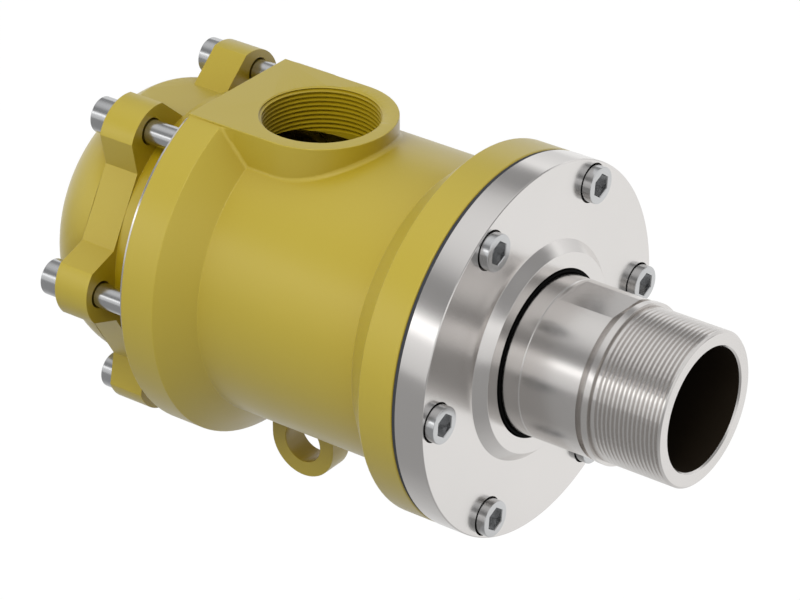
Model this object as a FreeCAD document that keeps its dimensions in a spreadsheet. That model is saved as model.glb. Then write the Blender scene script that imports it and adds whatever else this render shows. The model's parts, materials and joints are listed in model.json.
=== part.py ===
import FreeCAD, Part
import os
import Sketcher

# Hydraulic rotary union, millimetres.
# The rotor axis is X, the outlet thread faces +X with its end face at X = 0.
# The inlet port faces +Z.

os.makedirs("parts", exist_ok=True)
doc = FreeCAD.newDocument("RotaryUnion")
sheet = doc.addObject("Spreadsheet::Sheet", "Sizes")

# Stations along the axis are distances behind the rotor end face.
SIZES = [
    ("rotor_wall", 7.5),
    ("thread_step", 0.09),
    ("outlet_thread_length", 37.0),
    ("rotor_end_chamfer", 0.7),
    ("rotor_end_drop", 1.05),
    ("rotor_bore_chamfer", 0.8),
    ("collar_height", 1.71),
    ("collar_front", 37.8),
    ("collar_back", 41.0),
    ("relief_depth", 2.99),
    ("relief_back", 44.3),
    ("wrench_step", 1.26),
    ("wrench_flat_depth", 1.6),
    ("wrench_flat_gap", 2.2),
    ("wrench_angle", 1.0),
    ("journal_stand", 10.4),
    ("journal_step", 1.4),
    ("journal_groove_depth", 0.4),
    ("shoulder_width", 9.6),
    ("shoulder_height", 4.5),
    ("bearing_seat_radius", 37.5),
    ("spigot_length", 6.0),
    ("bearing_width", 20.0),
    ("bearing_outer_radius", 57.5),
    ("bearing_gap", 24.0),
    ("race_share", 0.315),
    ("race_chamfer", 0.8),
    ("ball_radius", 5.6),
    ("ball_clearance", 0.05),
    ("cage_width", 14.0),
    ("cage_share", 0.22),
    ("cage_pocket_clearance", 0.15),
    ("circlip_thickness", 2.5),
    ("circlip_groove_depth", 1.7),
    ("circlip_height", 4.7),
    ("circlip_gap", 9.0),
    ("sleeve_step", 3.5),
    ("seal_sleeve_step", 0.5),
    ("rotor_tail", 18.0),
    ("collar_clip_groove_depth", 1.6),
    ("running_clearance", 0.05),
    ("soft_clearance", 0.3),
    ("fit_clearance", 0.02),
    ("cover_radius", 92.0),
    ("cover_front", 90.8),
    ("cover_thickness", 15.3),
    ("cover_edge_chamfer", 0.5),
    ("hub_height", 5.2),
    ("hub_bevel_width", 5.0),
    ("hub_face_width", 7.8),
    ("hub_gap", 2.2),
    ("hub_bore_chamfer", 0.2),
    ("lip_seal_stand", 1.1),
    ("lip_seal_width", 10.0),
    ("lip_seal_height", 8.6),
    ("dust_lip_stand", 0.65),
    ("dust_lip_gap", 0.6),
    ("spigot_bore_step", 3.0),
    ("gasket_thickness", 2.0),
    ("gasket_step", 0.6),
    ("front_flange_step", 0.1),
    ("front_flange_width", 20.4),
    ("flange_height", 16.1),
    ("rear_flange_step", 1.0),
    ("chamber_rear_length", 5.4),
    ("rear_flange_width", 19.3),
    ("flange_edge_chamfer", 0.6),
    ("web_bore_gap", 7.0),
    ("web_thickness", 4.9),
    ("seat_pocket_clearance", 0.1),
    ("seat_length", 8.0),
    ("chamber_step", 7.0),
    ("pilot_depth", 12.7),
    ("pilot_wall", 10.1),
    ("port_distance", 14.0),
    ("port_face_drop", 6.8),
    ("port_wall", 8.47),
    ("port_thread_radius", 28.33),
    ("port_hole_break_through", 8.0),
    ("boss_fillet", 2.5),
    ("lug_distance", 8.6),
    ("lug_offset", 20.1),
    ("lug_radius", 18.7),
    ("lug_hole_radius", 10.7),
    ("lug_thickness", 13.8),
    ("screw_rim_distance", 10.9),
    ("screw_radius", 6.0),
    ("screw_hole_radius", 6.75),
    ("screw_head_radius", 9.0),
    ("screw_head_height", 12.0),
    ("screw_head_chamfer", 0.6),
    ("screw_socket_radius", 5.77),
    ("screw_socket_depth", 6.0),
    ("counterbore_radius", 9.7),
    ("counterbore_depth", 7.2),
    ("spot_face_radius", 9.4),
    ("spot_face_depth", 1.3),
    ("cover_screw_reach", 18.9),
    ("screw_end_gap", 1.0),
    ("cap_screw_reach", 16.3),
    ("adapter_thickness", 2.9),
    ("adapter_step", 2.2),
    ("adapter_flat_step", 3.0),
    ("chamber_lip", 4.0),
    ("pilot_end_gap", 0.3),
    ("pilot_clearance", 0.1),
    ("cap_gap", 20.1),
    ("cap_flange_width", 19.7),
    ("cap_flat_drop", 3.5),
    ("cap_dome_round", 36.0),
    ("dome_length", 34.7),
    ("cap_bore_round", 26.0),
    ("dome_wall", 9.8),
    ("ear_inner", 58.0),
    ("ear_root_half_width", 18.8),
    ("ear_knee_step", 5.7),
    ("ear_knee_half_width", 13.4),
    ("ear_tip_round", 20.15),
    ("o_ring_section", 1.6),
    ("o_ring_groove_depth", 3.5),
    ("o_ring_groove_width", 4.0),
    ("pilot_o_ring_depth", 6.2),
    ("cap_o_ring_step", 5.3),
    ("seat_height", 10.4),
    ("seat_gap", 2.5),
    ("nose_inner_step", 1.3),
    ("nose_width", 4.8),
    ("nose_length", 2.5),
    ("seat_o_ring_depth", 4.0),
    ("face_film", 0.02),
    ("seal_ring_height", 10.0),
    ("seal_ring_length", 9.3),
    ("seal_ring_o_ring_depth", 4.6),
    ("seal_ring_gap", 2.6),
    ("drive_collar_width", 21.6),
    ("drive_collar_height", 9.6),
    ("drive_collar_chamfer", 1.2),
    ("spring_circle_height", 5.4),
    ("spring_radius", 2.3),
    ("spring_bore_radius", 1.5),
    ("spring_pocket_radius", 2.65),
    ("spring_pocket_depth", 8.1),
    ("drive_pin_radius", 1.75),
    ("drive_pin_reach", 3.2),
    ("drive_pin_depth", 10.6),
    ("drive_pin_end_gap", 1.8),
    ("drive_pin_play", 0.1),
    ("set_screw_distance", 15.1),
    ("set_screw_radius", 3.0),
    ("set_screw_sink", 0.4),
    ("set_screw_socket_radius", 1.73),
    ("set_screw_socket_depth", 3.0),
    ("garter_height", 3.3),
    ("garter_section", 0.8),
    ("sixty_degree_height", 0.8660254),
]


class Size:
    """A number together with the spreadsheet expression that gives it."""

    def __init__(self, value, text):
        self.value = value
        self.text = text

    def join(self, sign, other, value, swapped=False):
        other = as_size(other)
        first, second = (other, self) if swapped else (self, other)
        return Size(value, "(%s %s %s)" % (first.text, sign, second.text))

    def __add__(self, other):
        return self.join("+", other, self.value + as_size(other).value)

    def __radd__(self, other):
        return self.join("+", other, self.value + as_size(other).value, True)

    def __sub__(self, other):
        return self.join("-", other, self.value - as_size(other).value)

    def __rsub__(self, other):
        return self.join("-", other, as_size(other).value - self.value, True)

    def __mul__(self, other):
        return self.join("*", other, self.value * as_size(other).value)

    def __rmul__(self, other):
        return self.join("*", other, self.value * as_size(other).value, True)

    def __truediv__(self, other):
        return self.join("/", other, self.value / as_size(other).value)

    def __neg__(self):
        return Size(-self.value, "(-1 * %s)" % self.text)


def as_size(number):
    if isinstance(number, Size):
        return number
    return Size(float(number), repr(float(number)))


class Named:
    """The sizes of the sheet by name."""


v = Named()
for row, (name, number) in enumerate(SIZES, start=1):
    sheet.set("A%d" % row, name)
    sheet.set("B%d" % row, str(number))
    sheet.setAlias("B%d" % row, name)
    setattr(v, name, Size(number, "Sizes." + name))
doc.recompute()

# Radii that follow the rotor's bearing seat, in order of the pieces that have them.
v.outlet_thread_radius = v.bearing_seat_radius + v.thread_step
v.rotor_bore_radius = v.bearing_seat_radius - v.rotor_wall
v.collar_radius = v.outlet_thread_radius + v.collar_height
v.relief_radius = v.outlet_thread_radius - v.relief_depth
v.wrench_radius = v.outlet_thread_radius + v.wrench_step
v.wrench_flat_distance = v.wrench_radius - v.wrench_flat_depth
v.journal_radius = v.bearing_seat_radius + v.journal_step
v.bearing_depth = v.bearing_outer_radius - v.bearing_seat_radius
v.race_thickness = v.race_share * v.bearing_depth
v.cage_thickness = v.cage_share * v.bearing_depth
v.shoulder_radius = v.bearing_seat_radius + v.shoulder_height
v.circlip_groove_radius = v.bearing_seat_radius - v.circlip_groove_depth
v.circlip_outer_radius = v.bearing_seat_radius + v.circlip_height
v.seal_sleeve_radius = v.bearing_seat_radius - v.seal_sleeve_step
v.collar_clip_groove_radius = v.seal_sleeve_radius - v.collar_clip_groove_depth
v.hub_bore_radius = v.journal_radius + v.hub_gap
v.hub_face_radius = v.hub_bore_radius + v.hub_face_width
v.hub_bevel_radius = v.hub_face_radius + v.hub_bevel_width
v.lip_seal_radius = v.journal_radius + v.lip_seal_height
v.cover_spigot_bore_radius = v.lip_seal_radius + v.spigot_bore_step
v.garter_circle_radius = v.journal_radius + v.garter_height
v.web_bore_radius = v.seal_sleeve_radius + v.web_bore_gap
v.seat_inner_radius = v.seal_sleeve_radius + v.seat_gap
v.seat_nose_inner_radius = v.seat_inner_radius + v.nose_inner_step
v.seat_nose_outer_radius = v.seat_nose_inner_radius + v.nose_width
v.seat_outer_radius = v.seat_inner_radius + v.seat_height
v.seat_pocket_radius = v.seat_outer_radius + v.seat_pocket_clearance
v.seal_ring_outer_radius = v.seal_sleeve_radius + v.seal_ring_height
v.drive_collar_radius = v.seal_sleeve_radius + v.drive_collar_height
v.spring_circle_radius = v.seal_sleeve_radius + v.spring_circle_height
v.set_screw_top = v.drive_collar_radius - v.set_screw_sink

# Stations that follow the cover's front face, from there to the back of the cap.
v.cover_back = v.cover_front + v.cover_thickness
v.hub_front = v.cover_front - v.hub_height
v.lip_seal_front = v.cover_front - v.lip_seal_stand
v.journal_front = v.hub_front - v.journal_stand
v.bearing_front = v.cover_back + v.spigot_length
v.shoulder_front = v.bearing_front - v.shoulder_width
v.front_flange_back = v.cover_back + v.front_flange_width
v.cover_screw_end = v.cover_back + v.cover_screw_reach
v.cover_screw_hole_end = v.cover_screw_end + v.screw_end_gap
v.web_front = v.bearing_front + v.bearing_width * 2 + v.bearing_gap
v.seal_sleeve_front = v.web_front + v.sleeve_step
v.seat_pocket_front = v.web_front + v.web_thickness
v.seat_o_ring_station = v.seat_pocket_front + v.seat_o_ring_depth
v.chamber_front = v.seat_pocket_front + v.seat_length
v.seat_nose_back = v.chamber_front + v.nose_length
v.seal_ring_back = v.seat_nose_back + v.seal_ring_length
v.seal_ring_o_ring_station = v.seal_ring_back - v.seal_ring_o_ring_depth
v.drive_collar_front = v.seal_ring_back + v.seal_ring_gap
v.drive_collar_back = v.drive_collar_front + v.drive_collar_width
v.spring_pocket_back = v.drive_collar_front + v.spring_pocket_depth
v.drive_pin_front = v.seal_ring_back - v.drive_pin_reach
v.drive_pin_hole_front = v.drive_pin_front - v.drive_pin_end_gap
v.drive_pin_back = v.drive_collar_front + v.drive_pin_depth
v.set_screw_station = v.drive_collar_front + v.set_screw_distance
v.rotor_back = v.drive_collar_back + v.rotor_tail
v.port_station = v.drive_collar_front + v.port_distance
v.lug_station = v.port_station + v.lug_distance
v.rear_flange_front = v.rotor_back + v.chamber_rear_length
v.rear_flange_back = v.rear_flange_front + v.rear_flange_width
v.rear_pilot_front = v.rear_flange_back - v.pilot_depth
v.adapter_pilot_front = v.rear_pilot_front + v.pilot_end_gap
v.pilot_o_ring_station = v.rear_flange_back - v.pilot_o_ring_depth
v.cap_screw_end = v.rear_flange_back - v.cap_screw_reach
v.cap_screw_hole_end = v.cap_screw_end - v.screw_end_gap
v.cap_flange_front = v.rear_flange_back + v.cap_gap
v.cap_flange_back = v.cap_flange_front + v.cap_flange_width
v.cap_back = v.cap_flange_back + v.dome_length
v.cap_bore_back = v.cap_back - v.dome_wall

# Radii and heights that follow the cover's rim, from the outside inwards.
v.gasket_radius = v.cover_radius - v.gasket_step
v.front_flange_radius = v.cover_radius - v.front_flange_step
v.rear_flange_radius = v.cover_radius - v.rear_flange_step
v.barrel_radius = v.front_flange_radius - v.flange_height
v.lug_drop = v.barrel_radius + v.lug_offset
v.adapter_radius = v.rear_flange_radius - v.adapter_step
v.port_face_height = v.rear_flange_radius - v.port_face_drop
v.port_boss_radius = v.port_thread_radius + v.port_wall
v.adapter_flat_height = v.port_face_height - v.adapter_flat_step
v.screw_circle_radius = v.cover_radius - v.screw_rim_distance
v.ear_knee = v.screw_circle_radius + v.ear_knee_step
v.rear_pilot_radius = v.screw_circle_radius - v.pilot_wall
v.adapter_pilot_radius = v.rear_pilot_radius - v.pilot_clearance
v.cap_spigot_radius = v.adapter_pilot_radius - v.pilot_clearance
v.cap_o_ring_radius = v.cap_spigot_radius - v.cap_o_ring_step
v.cap_flat_height = v.cap_spigot_radius - v.cap_flat_drop
v.chamber_radius = v.rear_pilot_radius - v.chamber_step
v.port_hole_bottom = v.chamber_radius - v.port_hole_break_through
v.adapter_bore_radius = v.chamber_radius - v.chamber_lip
v.cap_bore_radius = v.adapter_bore_radius


def new_body(name):
    body = doc.addObject("PartDesign::Body", name)
    body.Label = name
    body.AllowCompound = True
    return body


def origin_feature(body, role):
    return [item for item in body.Origin.OriginFeatures if item.Role == role][0]


def new_sketch(body, name, plane, offset=None):
    """A sketch on one of the body's own origin planes, moved along its normal."""
    sketch = body.newObject("Sketcher::SketchObject", body.Name + "_" + name)
    sketch.AttachmentSupport = [(origin_feature(body, plane), "")]
    sketch.MapMode = "FlatFace"
    if offset is not None:
        sketch.AttachmentOffset = FreeCAD.Placement(
            FreeCAD.Vector(0, 0, offset.value), FreeCAD.Rotation())
        sketch.setExpression(".AttachmentOffset.Base.z", offset.text)
    return sketch


def bind(sketch, kind, geometry, size):
    """One driving dimension whose value comes from the sheet."""
    index = sketch.addConstraint(Sketcher.Constraint(kind, *geometry, size.value))
    sketch.setExpression("Constraints[%d]" % index, size.text)


def polygon(sketch, points, arcs=None):
    """Closed outline; arcs maps an edge to its radius, turning sense and, for a half circle,
    the dimension that holds its centre."""
    arcs = arcs or {}
    points = [(as_size(x), as_size(y)) for x, y in points]
    count = len(points)
    ends = []
    for i, (x, y) in enumerate(points):
        start = FreeCAD.Vector(x.value, y.value, 0)
        nx, ny = points[(i + 1) % count]
        end = FreeCAD.Vector(nx.value, ny.value, 0)
        if i not in arcs:
            ends.append((sketch.addGeometry(Part.LineSegment(start, end)), 1, 2))
            continue
        radius, turn = arcs[i][:2]
        half = (end - start) * 0.5
        rise = max(radius.value ** 2 - half.Length ** 2, 0.0) ** 0.5
        side = FreeCAD.Vector(-half.y, half.x, 0).normalize() * rise * turn
        middle = start + half + side
        # the short arc between the two points, turning about the middle
        across = FreeCAD.Vector(-half.y, half.x, 0).normalize()
        bulge = middle - across * radius.value * turn
        index = sketch.addGeometry(Part.Arc(start, bulge, end))
        forward = sketch.getPoint(index, 1).distanceToPoint(start) < 1e-6
        ends.append((index, 1, 2) if forward else (index, 2, 1))
        if len(arcs[i]) == 2:
            bind(sketch, "Radius", (index,), radius)
        else:
            bind(sketch, arcs[i][2], (-1, 1, index, 3), as_size(arcs[i][3]))
    for i in range(count):
        index, first, last = ends[i]
        following, following_first, unused = ends[(i + 1) % count]
        sketch.addConstraint(
            Sketcher.Constraint("Coincident", index, last, following, following_first))
    for (x, y), (index, first, last) in zip(points, ends):
        bind(sketch, "DistanceX", (-1, 1, index, first), x)
        bind(sketch, "DistanceY", (-1, 1, index, first), y)
    return sketch


def circle(sketch, x, y, radius):
    x = as_size(x)
    y = as_size(y)
    index = sketch.addGeometry(
        Part.Circle(FreeCAD.Vector(x.value, y.value, 0), FreeCAD.Vector(0, 0, 1), radius.value))
    bind(sketch, "Radius", (index,), radius)
    bind(sketch, "DistanceX", (-1, 1, index, 3), x)
    bind(sketch, "DistanceY", (-1, 1, index, 3), y)
    return sketch


def axle(sketch, start, end, height):
    """A construction line parallel to the sketch's first axis, used to turn a profile about."""
    height = as_size(height)
    index = sketch.addGeometry(Part.LineSegment(
        FreeCAD.Vector(start.value, height.value, 0),
        FreeCAD.Vector(end.value, height.value, 0)), True)
    for position, x in ((1, start), (2, end)):
        bind(sketch, "DistanceX", (-1, 1, index, position), x)
        bind(sketch, "DistanceY", (-1, 1, index, position), height)


def turned(body, sketch, kind="Revolution", axis="H_Axis"):
    feature = body.newObject("PartDesign::" + kind, sketch.Name + "_" + kind)
    feature.Profile = sketch
    feature.ReferenceAxis = (sketch, [axis])
    feature.Angle = 360.0
    sketch.Visibility = False
    body.Tip = feature
    doc.recompute()
    return feature


def extruded(body, sketch, kind, length, midplane=False, flipped=False):
    """Pad or pocket; the volume shows whether a pocket met the body."""
    before = body.Shape.Volume if kind == "Pocket" else 0.0
    feature = body.newObject("PartDesign::" + kind, sketch.Name + "_" + kind)
    feature.Profile = sketch
    feature.Midplane = midplane
    feature.Reversed = flipped
    feature.Length = length.value
    feature.setExpression("Length", length.text)
    sketch.Visibility = False
    body.Tip = feature
    doc.recompute()
    if kind == "Pocket" and feature.Shape.Volume > before - 1e-3:
        raise ValueError(feature.Name + " removes nothing")
    return feature


def repeated(body, originals, count, role="X_Axis"):
    feature = body.newObject("PartDesign::PolarPattern", originals[0].Name + "_pattern")
    feature.Originals = originals
    feature.Axis = (origin_feature(body, role), [""])
    feature.Angle = 360.0
    feature.Occurrences = count
    body.Tip = feature
    doc.recompute()
    return feature


def ring(name, front, back, inner, outer, chamfer=None):
    """A plain turned ring between two stations."""
    body = new_body(name)
    sketch = new_sketch(body, "profile", "XY_Plane")
    if chamfer is None:
        points = [(-front, inner), (-back, inner), (-back, outer), (-front, outer)]
    else:
        points = [
            (-front, inner + chamfer), (-front - chamfer, inner),
            (chamfer - back, inner), (-back, inner + chamfer),
            (-back, outer - chamfer), (chamfer - back, outer),
            (-front - chamfer, outer), (-front, outer - chamfer)]
    polygon(sketch, points)
    turned(body, sketch)
    return body


def torus(name, station, radius, section):
    body = new_body(name)
    sketch = new_sketch(body, "section", "XY_Plane")
    circle(sketch, -station, radius, section)
    turned(body, sketch)
    return body


# Rotor: threaded outlet end, wrench flats, ground journal, bearing seat and seal sleeve.
rotor = new_body("rotor")
profile = new_sketch(rotor, "profile", "XY_Plane")
groove_front = v.bearing_front + v.bearing_width * 2 + v.bearing_gap
groove_back = groove_front + v.circlip_thickness + v.fit_clearance
clip_front = v.drive_collar_back
clip_back = v.drive_collar_back + v.circlip_thickness + v.fit_clearance
polygon(profile, [
    (0, v.rotor_bore_radius + v.rotor_bore_chamfer),
    (0, v.outlet_thread_radius - v.rotor_end_drop),
    (-v.rotor_end_chamfer, v.outlet_thread_radius),
    (-v.outlet_thread_length, v.outlet_thread_radius),
    (-v.collar_front, v.outlet_thread_radius - 0.8),
    (-v.collar_front, v.collar_radius),
    (-v.collar_back, v.collar_radius),
    (-v.collar_back, v.relief_radius),
    (-v.relief_back, v.relief_radius),
    (-v.relief_back, v.wrench_radius),
    (v.journal_groove_depth - v.journal_front, v.wrench_radius),
    (-v.journal_front, v.journal_radius - v.journal_groove_depth),
    (-v.journal_front - v.journal_groove_depth, v.journal_radius),
    (-v.shoulder_front, v.journal_radius),
    (-v.shoulder_front, v.shoulder_radius - 0.5),
    (-v.shoulder_front - 0.5, v.shoulder_radius),
    (-v.bearing_front, v.shoulder_radius),
    (-v.bearing_front, v.bearing_seat_radius),
    (-groove_front, v.bearing_seat_radius),
    (-groove_front, v.circlip_groove_radius),
    (-groove_back, v.circlip_groove_radius),
    (-groove_back, v.bearing_seat_radius - 0.1),
    (-v.seal_sleeve_front, v.bearing_seat_radius - 0.1),
    (-v.seal_sleeve_front, v.seal_sleeve_radius),
    (-clip_front, v.seal_sleeve_radius),
    (-clip_front, v.collar_clip_groove_radius),
    (-clip_back, v.collar_clip_groove_radius),
    (-clip_back, v.seal_sleeve_radius),
    (1.5 - v.rotor_back, v.seal_sleeve_radius),
    (-v.rotor_back, v.seal_sleeve_radius - 1.5),
    (-v.rotor_back, v.rotor_bore_radius + 1.5),
    (1.5 - v.rotor_back, v.rotor_bore_radius),
    (-v.rotor_bore_chamfer, v.rotor_bore_radius),
])
turned(rotor, profile)
flats = new_sketch(rotor, "flats", "YZ_Plane", -v.relief_back + 0.5)
flats.AttachmentOffset = FreeCAD.Placement(
    FreeCAD.Vector(0, 0, 0.5 - v.relief_back.value),
    FreeCAD.Rotation(FreeCAD.Vector(0, 0, 1), -v.wrench_angle.value))
flats.setExpression(".AttachmentOffset.Rotation.Angle", "-1 * Sizes.wrench_angle")
for sign in (1, -1):
    start = len(flats.Geometry)
    edge = v.wrench_flat_distance * sign
    rim = (v.wrench_radius + 4) * sign
    half = v.wrench_radius
    for a, b in (((-half, edge), (half, edge)), ((half, edge), (half, rim)),
                 ((half, rim), (-half, rim)), ((-half, rim), (-half, edge))):
        index = flats.addGeometry(Part.LineSegment(
            FreeCAD.Vector(a[0].value, a[1].value, 0), FreeCAD.Vector(b[0].value, b[1].value, 0)))
        bind(flats, "DistanceX", (-1, 1, index, 1), a[0])
        bind(flats, "DistanceY", (-1, 1, index, 1), a[1])
    for i in range(4):
        flats.addConstraint(
            Sketcher.Constraint("Coincident", start + i, 2, start + (i + 1) % 4, 1))
extruded(rotor, flats, "Pocket", v.journal_front - v.wrench_flat_gap - v.relief_back + 0.5)

# Housing casting: two flanges with sloped backs, barrel, port boss, torque lug, bores.
housing = new_body("housing")
face = v.cover_back + v.gasket_thickness
outside = new_sketch(housing, "outside", "XY_Plane")
polygon(outside, [
    (-face, 0),
    (-face, v.front_flange_radius - v.flange_edge_chamfer),
    (-face - v.flange_edge_chamfer, v.front_flange_radius),
    (-v.front_flange_back, v.front_flange_radius),
    (v.barrel_radius - v.front_flange_radius - v.front_flange_back, v.barrel_radius),
    (v.rear_flange_radius - v.barrel_radius - v.rear_flange_front, v.barrel_radius),
    (-v.rear_flange_front, v.rear_flange_radius),
    (v.flange_edge_chamfer - v.rear_flange_back, v.rear_flange_radius),
    (-v.rear_flange_back, v.rear_flange_radius - v.flange_edge_chamfer),
    (-v.rear_flange_back, 0),
])
turned(housing, outside)
slab = new_sketch(housing, "slab", "XY_Plane")
polygon(slab, [
    (-v.rear_flange_back, -v.port_boss_radius),
    (-v.port_station, -v.port_boss_radius),
    (-v.port_station, v.port_boss_radius),
    (-v.rear_flange_back, v.port_boss_radius),
], {1: (v.port_boss_radius, 1, "DistanceX", -v.port_station)})
slab_pad = extruded(housing, slab, "Pad", v.port_face_height)
foot = []
for index, edge in enumerate(housing.Tip.Shape.Edges, start=1):
    ends = [vertex.Point for vertex in edge.Vertexes]
    middle = edge.valueAt((edge.FirstParameter + edge.LastParameter) / 2)
    level = max(abs(end.z - middle.z) for end in ends)
    walls = abs(abs(middle.y) - v.port_boss_radius.value) < 1e-3 or abs(
        ((middle.x + v.port_station.value) ** 2 + middle.y ** 2) ** 0.5
        - v.port_boss_radius.value) < 1e-3
    upright = abs(ends[0].x - ends[-1].x) < 1e-6 and abs(ends[0].y - ends[-1].y) < 1e-6
    inner = v.barrel_radius.value * 0.8 < middle.z < v.port_face_height.value - 1
    if walls and inner and not upright and middle.x > 1 - v.rear_flange_front.value:
        foot.append("Edge%d" % index)
if not foot:
    raise ValueError("no edges at the foot of the port boss")
rounding = housing.newObject("PartDesign::Fillet", "housing_boss_foot")
rounding.Base = (slab_pad, foot)
rounding.Radius = v.boss_fillet.value
rounding.setExpression("Radius", v.boss_fillet.text)
housing.Tip = rounding
doc.recompute()
lug = new_sketch(housing, "lug", "XZ_Plane")
polygon(lug, [
    (-v.lug_station - v.lug_radius, -v.lug_drop),
    (v.lug_radius - v.lug_station, -v.lug_drop),
    (v.lug_radius - v.lug_station, v.lug_radius - v.barrel_radius),
    (-v.lug_station - v.lug_radius, v.lug_radius - v.barrel_radius),
], {0: (v.lug_radius, 1, "DistanceY", -v.lug_drop)})
extruded(housing, lug, "Pad", v.lug_thickness, midplane=True)
inside = new_sketch(housing, "inside", "XY_Plane")
polygon(inside, [
    (1 - face, 0),
    (1 - face, v.bearing_outer_radius + 1 + v.fit_clearance),
    (-face - 1, v.bearing_outer_radius + v.fit_clearance),
    (-v.web_front, v.bearing_outer_radius + v.fit_clearance),
    (-v.web_front, v.web_bore_radius),
    (-v.seat_pocket_front, v.web_bore_radius),
    (-v.seat_pocket_front, v.seat_pocket_radius),
    (-v.chamber_front, v.seat_pocket_radius),
    (-v.chamber_front, v.chamber_radius),
    (-v.rear_pilot_front, v.chamber_radius),
    (-v.rear_pilot_front, v.rear_pilot_radius),
    (1 - v.rear_flange_back, v.rear_pilot_radius),
    (-v.rear_flange_back, v.rear_pilot_radius + 1),
    (-v.rear_flange_back - 1, v.rear_pilot_radius + 1),
    (-v.rear_flange_back - 1, 0),
])
turned(housing, inside, "Groove")
flat = new_sketch(housing, "rim_flat", "XY_Plane", v.port_face_height)
polygon(flat, [
    (-v.rear_flange_back - 2, -v.barrel_radius),
    (-v.rear_flange_front + v.rear_flange_radius - v.barrel_radius, -v.barrel_radius),
    (-v.rear_flange_front + v.rear_flange_radius - v.barrel_radius, v.barrel_radius),
    (-v.rear_flange_back - 2, v.barrel_radius),
])
extruded(housing, flat, "Pocket", v.rear_flange_radius - v.port_face_height + 2, flipped=True)
port = new_sketch(housing, "port", "XY_Plane", v.port_face_height)
circle(port, -v.port_station, 0, v.port_thread_radius)
extruded(housing, port, "Pocket", v.port_face_height - v.port_hole_bottom)
eye = new_sketch(housing, "lug_eye", "XZ_Plane")
circle(eye, -v.lug_station, -v.lug_drop, v.lug_hole_radius)
extruded(housing, eye, "Pocket", v.lug_thickness * 2, midplane=True)
tapped = new_sketch(housing, "cover_tapping", "YZ_Plane", -face)
circle(tapped, v.screw_circle_radius, 0, v.screw_radius + v.fit_clearance)
hole = extruded(housing, tapped, "Pocket", v.cover_screw_hole_end - face)
repeated(housing, [hole], 6)
tapped = new_sketch(housing, "cap_tapping", "YZ_Plane", -v.rear_flange_back)
circle(tapped, v.screw_circle_radius, 0, v.screw_radius + v.fit_clearance)
hole = extruded(housing, tapped, "Pocket", v.rear_flange_back - v.cap_screw_hole_end, flipped=True)
repeated(housing, [hole], 6)

# Front cover: stainless plate with bevelled hub, seal pocket and bearing spigot.
cover = new_body("front_cover")
profile = new_sketch(cover, "profile", "XY_Plane")
polygon(profile, [
    (-v.hub_front, v.hub_bore_radius + v.hub_bore_chamfer),
    (-v.hub_front, v.hub_face_radius),
    (-v.cover_front, v.hub_bevel_radius),
    (-v.cover_front, v.cover_radius - v.cover_edge_chamfer),
    (-v.cover_front - v.cover_edge_chamfer, v.cover_radius),
    (-v.cover_back, v.cover_radius),
    (-v.cover_back, v.bearing_outer_radius - v.fit_clearance),
    (-v.bearing_front, v.bearing_outer_radius - v.fit_clearance),
    (-v.bearing_front, v.cover_spigot_bore_radius),
    (-v.lip_seal_front - v.lip_seal_width - 1, v.cover_spigot_bore_radius),
    (-v.lip_seal_front - v.lip_seal_width - 0.4, v.lip_seal_radius),
    (-v.lip_seal_front, v.lip_seal_radius),
    (-v.lip_seal_front, v.hub_bore_radius),
    (-v.hub_front - v.hub_bore_chamfer, v.hub_bore_radius),
])
turned(cover, profile)
pocket = new_sketch(cover, "counterbore", "YZ_Plane", -v.cover_front)
circle(pocket, v.screw_circle_radius, 0, v.counterbore_radius)
sunk = extruded(cover, pocket, "Pocket", v.counterbore_depth)
pocket = new_sketch(cover, "clearance_hole", "YZ_Plane", -v.cover_front)
circle(pocket, v.screw_circle_radius, 0, v.screw_hole_radius)
hole = extruded(cover, pocket, "Pocket", v.cover_back - v.cover_front + 1)
repeated(cover, [sunk, hole], 6)

# Cover gasket.
gasket = ring("cover_gasket", v.cover_back, face, v.bearing_outer_radius + 1.2, v.gasket_radius)
pocket = new_sketch(gasket, "hole", "YZ_Plane", -v.cover_back)
circle(pocket, v.screw_circle_radius, 0, v.screw_hole_radius)
hole = extruded(gasket, pocket, "Pocket", v.gasket_thickness + 1)
repeated(gasket, [hole], 6)


def socket_screws(name, seat, tip, facing):
    """Six socket head cap screws; facing is +1 when the heads look along +X."""
    body = new_body(name)
    shape = new_sketch(body, "profile", "XY_Plane")
    top = -seat + v.screw_head_height * facing
    rim = v.screw_circle_radius
    polygon(shape, [
        (top, rim),
        (top, rim + v.screw_head_radius - v.screw_head_chamfer),
        (top - v.screw_head_chamfer * facing, rim + v.screw_head_radius),
        (-seat, rim + v.screw_head_radius),
        (-seat, rim + v.screw_radius),
        (-tip + facing, rim + v.screw_radius),
        (-tip, rim + v.screw_radius - 1),
        (-tip, rim),
    ])
    axle(shape, -tip, top, rim)
    blank = turned(body, shape, axis="Axis0")
    socket = new_sketch(body, "socket", "YZ_Plane", top)
    across = v.screw_socket_radius * v.sixty_degree_height
    half = v.screw_socket_radius / 2
    polygon(socket, [
        (rim + v.screw_socket_radius, 0), (rim + half, across), (rim - half, across),
        (rim - v.screw_socket_radius, 0), (rim - half, -across), (rim + half, -across)])
    hexagon = extruded(body, socket, "Pocket", v.screw_socket_depth, flipped=facing < 0)
    repeated(body, [blank, hexagon], 6)
    return body


socket_screws("cover_screws", v.cover_front + v.counterbore_depth, v.cover_screw_end, 1)
socket_screws("cap_screws", v.cap_flange_back - v.spot_face_depth, v.cap_screw_end, -1)

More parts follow.
